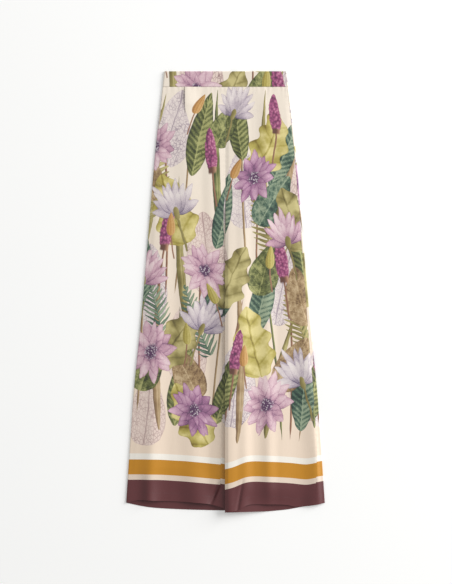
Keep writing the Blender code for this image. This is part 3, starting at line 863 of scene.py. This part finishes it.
def drawLanceLeaf(p, q, kind):
    width = leafWidth(p, 0.78, 0.8)
    t = q / width
    rib = abs((p * 14.5 - abs(t) * 1.5 + 0.12).fraction() - 0.5) * 2
    veinlets = abs((p * 52 + abs(t) * 4.2).fraction() - 0.5)
    shade = 0.44 + (0.5 - rib) * 0.60 + satin.step(t, -0.12, 0.08) * 0.30 + wash * 1.5 + pencil * 0.8
    shade = shade - satin.step(veinlets, 0.3, 0.5) * 0.16 - satin.step(abs(t), 0.72, 1) * 0.3
    shade = shade + line(q, 0, 0.07) * 0.42
    return satin.ink(kind, ("green", "teal"), shade), inside(t, width, 0.06)


def drawRoundLeaf(p, q, kind):
    width = leafWidth(p, 0.66, 0.68)
    t = q / width
    patches = satin.cells(satin.stretched(place, (1, 0.7, 0.3)), 115)
    shade = 0.60 + (patches - 0.45) * 0.75 + wash * 1.4 + pencil * 0.8 - satin.step(t, -0.05, 0.12) * 0.2
    shade = shade - sideRibs(p, t, 6, 1.1, 0.07) * 0.3 - satin.step(abs(t), 0.82, 1) * 0.25
    shade = shade + line(q, 0, 0.05) * 0.3
    return satin.ink(kind, ("green", "bronze", "teal"), shade), inside(t, width, 0.05)


def drawLobedLeaf(p, q, kind):
    side = satin.step(q, -0.01, 0.01)
    lobe = p * 3.6 + side * 0.35
    width = leafWidth(p, 0.66, 0.6) * (0.85 + (lobe * 2 * math.pi).sine() * 0.15)
    t = q / width.atLeast(0.001)
    ribs = abs((lobe - abs(q) * 0.75 + 0.05).fraction() - 0.5)
    shade = 0.68 - satin.step(ribs, 0.40, 0.5) * 0.16 + wash * 2.4 - (ribs - 0.25) * 0.8 - abs(t) * 0.14
    shade = shade + side * 0.16 - line(q, 0, 0.06) * 0.4 - satin.step(abs(t), 0.86, 1) * 0.3 + pencil * 0.15
    return satin.ink(kind, ("lime", "olive"), shade), inside(t, width, 0.05)


def drawSpike(p, q, kind):
    u = (p - 0.46) / 0.54
    florets = satin.cells(satin.stretched(place, (1, 0.8, 0.3)), 175)
    width = leafWidth(u, 0.66, 0.5) * 0.9
    t = q / width
    shade = 0.86 - florets * 1.1 + satin.step(t, -1, 1) * 0.3 + pencil * 0.5
    shade = shade - satin.step(abs(t), 0.7, 1.1) * 0.2
    head = satin.step(1.05 - abs(t) - florets * 0.22, 0, 0.14) * satin.step(u, 0, 0.02)
    stem = line(q, 0, 0.16) * satin.step(p, 0, 0.02) * (1 - satin.step(u, 0, 0.05))
    flower = satin.ink(kind, ("magenta",), shade)
    collar = line(u, 0.02, 0.1) * satin.step(0.62 - abs(q), 0, 0.2)
    stalk = satin.ink(kind, ("brown",), 0.4 + q * 2 - collar * 0.4)
    return satin.mix(head * (1 - collar), stalk, flower), head.atLeast(stem).atLeast(collar)


def petals(p, q, seed, count, phase, reach, breadth, fan):
    # gives how far along and across its petal a point is, two chance numbers of that petal, and 1 inside it
    turn = q.calc("ARCTAN2", p)
    r = (p * p + q * q) ** 0.5
    step = 2 * math.pi / count if fan is None else fan / (count - 1)
    number = (turn / step + phase).calc("ROUND")
    if fan is not None:
        number = number.atMost((count - 1) / 2).atLeast(-(count - 1) / 2)
    off = turn - (number - phase) * step
    salt = (seed * 1000).whole() + count
    luck, other = satin.chance(number + 40, salt), satin.chance(number + 90, salt)
    along = r * off.calc("COSINE") / (reach * (0.74 + luck * 0.26))
    width = leafWidth(along, 0.85, 0.72)
    across = (r * off.sine() + (other - 0.5) * 0.16 * along * along) / (width * breadth)
    return along, across, luck, other, inside(across, width, 0.08)


def petalShade(along, across, luck, other):
    veins = abs((across * 4.2 + other * 3).fraction() - 0.5)
    shade = 0.16 + along * 0.58 + luck * 0.30 - abs(across) * abs(across) * 0.34 + wash * 1.0
    shade = shade - satin.step(veins, 0.3, 0.5) * (1.05 - along) * 0.52 - satin.step(along, 0.88, 1) * 0.22
    return shade - satin.step(abs(across), 0.80, 0.95) * 0.22 + pencil * 0.35


# rings of petals, the lowest first: count, turn, reach, breadth, how much lighter, and a fan's spread
cupRings = [(9, 0, 0.98, 0.135, 0, 2.7), (6, 0, 0.86, 0.14, 0.1, 1.8), (4, 0, 0.64, 0.13, 0.16, 1.1)]
bloomRings = [(10, 0, 0.99, 0.20, 0, None), (9, 0.5, 0.84, 0.165, 0.05, None), (7, 0.2, 0.58, 0.12, 0, None)]


def drawRings(p, q, kind, names, rings):
    seed = kind.fraction()
    flower, mask = None, None
    for count, phase, reach, breadth, lift, fan in rings:
        along, across, luck, other, within = petals(p, q, seed, count, phase, reach, breadth, fan)
        ink = satin.ink(kind, names, petalShade(along, across, luck, other) + lift)
        flower = ink if flower is None else satin.mix(within, flower, ink)
        mask = within if mask is None else mask.atLeast(within)
    return flower, mask


def drawCup(p, q, kind):
    p = p + 0.05
    flower, mask = drawRings(p, q, kind, ("lilac", "mauve"), cupRings)
    foot = 1 - satin.step((p * p * 6 + q * q * 14) ** 0.5, 0.34, 0.42)
    stem = line(q, 0, 0.05) * (1 - satin.step(p, 0, 0.02)) * satin.step(p, -0.93, -0.9)
    green = satin.ink(0.5, ("olive",), 0.45 + q * 3 + wash)
    return satin.mix(foot.atLeast(stem), flower, green), mask.atLeast(foot).atLeast(stem)


def drawBloom(p, q, kind):
    r = (p * p + q * q) ** 0.5
    flower, mask = drawRings(p, q, kind, ("mauve", "plum"), bloomRings)
    dots = satin.cells(place, 210)
    middle = satin.mix(satin.step(dots, 0.25, 0.5), dyes["lilac"][1], dyes["plum"][0])
    heart = 1 - satin.step(r + dots * 0.12, 0.22, 0.30)
    return satin.mix(heart, flower, middle), mask.atLeast(heart)


def drawBud(p, q, kind):
    u = (p - 0.52) / 0.48
    width = leafWidth(u, 0.6, 0.7)
    t = q / width
    shade = 0.55 + t * 0.3 - satin.step(abs((t * 1.6).fraction() - 0.5), 0.3, 0.5) * 0.3 + pencil * 0.3
    head = inside(t, width, 0.12)
    stem = line(q, 0, 0.2) * satin.step(p, 0, 0.02) * (1 - satin.step(u, 0, 0.1))
    colour = satin.mix(head, satin.ink(0.5, ("brown",), 0.5 + q), satin.ink(kind, ("ochre", "lime"), shade))
    return colour, head.atLeast(stem)


draws = {"ghostLeaf": drawGhostLeaf, "stem": drawStem, "blade": drawBlade, "frond": drawFrond,
         "lanceLeaf": drawLanceLeaf, "roundLeaf": drawRoundLeaf, "lobedLeaf": drawLobedLeaf,
         "spike": drawSpike, "cup": drawCup, "bloom": drawBloom, "bud": drawBud}
# how far the hand shakes, as a share of a motif's length and of its half width
lengthShake = 0.05
widthShake = {"stem": 0.6, "blade": 0.3, "bud": 0.25, "spike": 0.2, "frond": 0.05, "others": 0.12}
down = satin.amount("down")
printed = satin.mix(satin.step(down, 0.1, 1.0), tone(236, 224, 208), tone(234, 214, 193))
for layer, draw in draws.items():
    p, q, kind, near = satin.layer(layer)
    shaken = q + shakeQ * widthShake.get(layer, widthShake["others"])
    ink, mask = draw(p + shakeP * lengthShake, shaken, kind)
    printed = satin.mix(mask * satin.step(near, 0.90, 0.99), printed, ink)

# Bands above the hem, by the distance below the maroon band's top. The ramp spans 0.2 m round it.
bandTones = {"white": tone(240, 234, 223), "ochre": tone(193, 131, 16), "cream": tone(224, 206, 188),
             "maroon": tone(92, 41, 43)}
bandStarts = {"white": 0, "ochre": 0.246, "cream": 0.431, "maroon": 0.5}        # along the ramp
borderTop = (-0.0663, -0.0653)      # where the print ends and the white band has begun
border = satin.amount("border")
bandStops = [(start, bandTones[name]) for name, start in bandStarts.items()]
bands = satin.ramp(border * 5 + 0.5, bandStops)
colour = satin.mix(satin.step(border, *borderTop), printed, bands)

weave = {"twill": 0.0005, "twillHeight": 0.000006, "slubHeight": 0.00002, "slack": 0.00022}
sewing = {"hemDepth": 0.020, "stitch": 0.0030, "thread": 0.00045, "sunk": 0.00015, "gathers": 0.00012,
          "gathersEnd": 0.016, "hemEdge": 0.0014}
gloss = {"roughness": 0.50, "specular": 0.6, "sheen": 0.06, "sheenRoughness": 0.4}
x, y = (Amount(satin, part) for part in satin.node("ShaderNodeSeparateXYZ", {}, {0: place}).outputs[:2])
twill = ((x + y * 0.6) * (2 * math.pi / weave["twill"])).sine()
slub = satin.noise(satin.stretched(place, (900, 70, 900)), 1, 1) - 0.5      # uneven yarns, down the leg
slack = satin.noise(satin.stretched(place, (34, 15, 34)), 1, 2)             # looseness between the folds
toSeam, toHem = satin.amount("toSeam"), satin.amount("toHem")
nearSeam = 1 - satin.step(toSeam, 0.001, sewing["gathersEnd"])
drawn = satin.noise(satin.stretched(place, (150, 150, 30)), 1, 1) - 0.5     # fine gathers beside the sewing
dash = satin.step(abs((x / sewing["stitch"]).fraction() - 0.5), 0.08, 0.14)
hemStitch = line(toHem, sewing["hemDepth"], sewing["thread"]) * dash
height = twill * weave["twillHeight"] + slub * weave["slubHeight"] + slack * weave["slack"]
height = height + drawn * nearSeam * sewing["gathers"] - hemStitch * sewing["sunk"]
bump = satin.node("ShaderNodeBump", {}, {"Strength": 0.9, "Distance": 1.0, "Height": height})
# a grey multiplied into the colour: uneven with the yarns and the twill, darker along the hem's stitches and
# lighter along the hem's very edge
yarn = 0.985 + slub * 0.07 + twill * 0.01 - hemStitch * 0.16 + line(toHem, 0, sewing["hemEdge"]) * 0.05
grey = satin.node("ShaderNodeCombineColor", {}, {0: yarn, 1: yarn, 2: yarn}).outputs[0]
colour = satin.mix(1, colour, grey, "MULTIPLY")
roughness = gloss["roughness"] + wash * 0.16 + slub * 0.10 + nearSeam * 0.03
shader = satin.node("ShaderNodeBsdfPrincipled", {}, {
    "Base Color": colour, "Roughness": roughness, "Specular IOR Level": gloss["specular"],
    "Sheen Weight": gloss["sheen"], "Sheen Roughness": gloss["sheenRoughness"], "Normal": bump.outputs[0]})
satin.node("ShaderNodeOutputMaterial", {}, {"Surface": shader.outputs[0]})
print("mixed the print", len(satin.tree.nodes))


# Each pattern piece: the node it stands for, its flat width and length, its area, and where it was cut from
# the printed cloth, as the side it takes and a shift of x and down.
pattern = {
    "frontRightCloth": ("front_right", (0.262, 1.055), 0.222, -1, 0, 0),
    "backRightCloth": ("back_right", (0.285, 1.062), 0.232, 1, 0.034, 0.003),
    "frontLeftCloth": ("front_left", (0.262, 1.066), 0.222, 1, 0.009, 0.006),
    "backLeftCloth": ("back_left", (0.285, 1.068), 0.232, -1, 0.247, -0.006),
    "waistbandFrontCloth": ("waistband_front", (0.325, 0.0387), 0.0122, 1, 0.018, 0.452),
    "waistbandBackCloth": ("waistband_back", (0.325, 0.0387), 0.0122, 1, -0.022, 0.613),
}
for name, (panel, out, down) in panels.items():
    node, cut, area, side, shiftX, shiftDown = pattern[name]
    placeMotifs(panel, out * side + shiftX, down + shiftDown)
    addValue(panel, "down", down)
    thicken(panel, waistband["wall"] if name.startswith("waist") else trousers["clothWall"])
    panel.data.materials.append(satin.material)
    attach(panel, "root")
    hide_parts(node)
print("dressed")

studio = {"key": 640, "size": 4.9, "away": 7.0, "from": (0.84, 0.40, 0.42), "sky": 0.50,
          "floorHalf": 4, "floorLevel": -0.0003, "floorTone": (0.80, 0.80, 0.79, 1),
          "floorGlow": (1, 1, 0.985, 1), "floorGlowStrength": 0.20,
          "lens": 123.2, "sensor": 36, "camera": (0.00125, 0.0004, 5.0)}
half, level = studio["floorHalf"], studio["floorLevel"]
corners = [(-half, -half, level), (half, -half, level), (half, half, level), (-half, half, level)]
floorMesh = bpy.data.meshes.new("studioFloor")
floorMesh.from_pydata(corners, [], [(0, 1, 2, 3)])
studioFloor = bpy.data.objects.new("studioFloor", floorMesh)
bpy.context.scene.collection.objects.link(studioFloor)
paper = Paint("paleFloor")
# The floor glows as well as reflecting. This glow is painted light: it lifts the shadows on the floor, evens
# out its brightness and adds a little light to the cloth's edges.
paperShader = paper.node("ShaderNodeBsdfPrincipled", {}, {
    "Base Color": studio["floorTone"], "Roughness": 0.9, "Specular IOR Level": 0.1,
    "Emission Color": studio["floorGlow"], "Emission Strength": studio["floorGlowStrength"]})
paper.node("ShaderNodeOutputMaterial", {}, {"Surface": paperShader.outputs[0]})
floorMesh.materials.append(paper.material)

world = bpy.data.worlds.new("studio")
bpy.context.scene.world = world
world.use_nodes = True
world.node_tree.nodes["Background"].inputs[0].default_value = (1, 1, 1, 1)
world.node_tree.nodes["Background"].inputs[1].default_value = studio["sky"]
keyData = bpy.data.lights.new("key", "AREA")
keyData.shape, keyData.size, keyData.energy = "DISK", studio["size"], studio["key"]
key = bpy.data.objects.new("key", keyData)
key.location = Vector(studio["from"]).normalized() * studio["away"]
key.rotation_euler = Vector(studio["from"]).to_track_quat("Z", "Y").to_euler()
key.visible_camera = False
bpy.context.scene.collection.objects.link(key)

cameraData = bpy.data.cameras.new("camera")
cameraData.lens, cameraData.sensor_width = studio["lens"], studio["sensor"]
camera = bpy.data.objects.new("camera", cameraData)
camera.location = studio["camera"]
bpy.context.scene.collection.objects.link(camera)
bpy.context.scene.camera = camera
bpy.context.scene.view_settings.view_transform = "Standard"
bpy.context.scene.view_settings.look = "None"
print("lit")
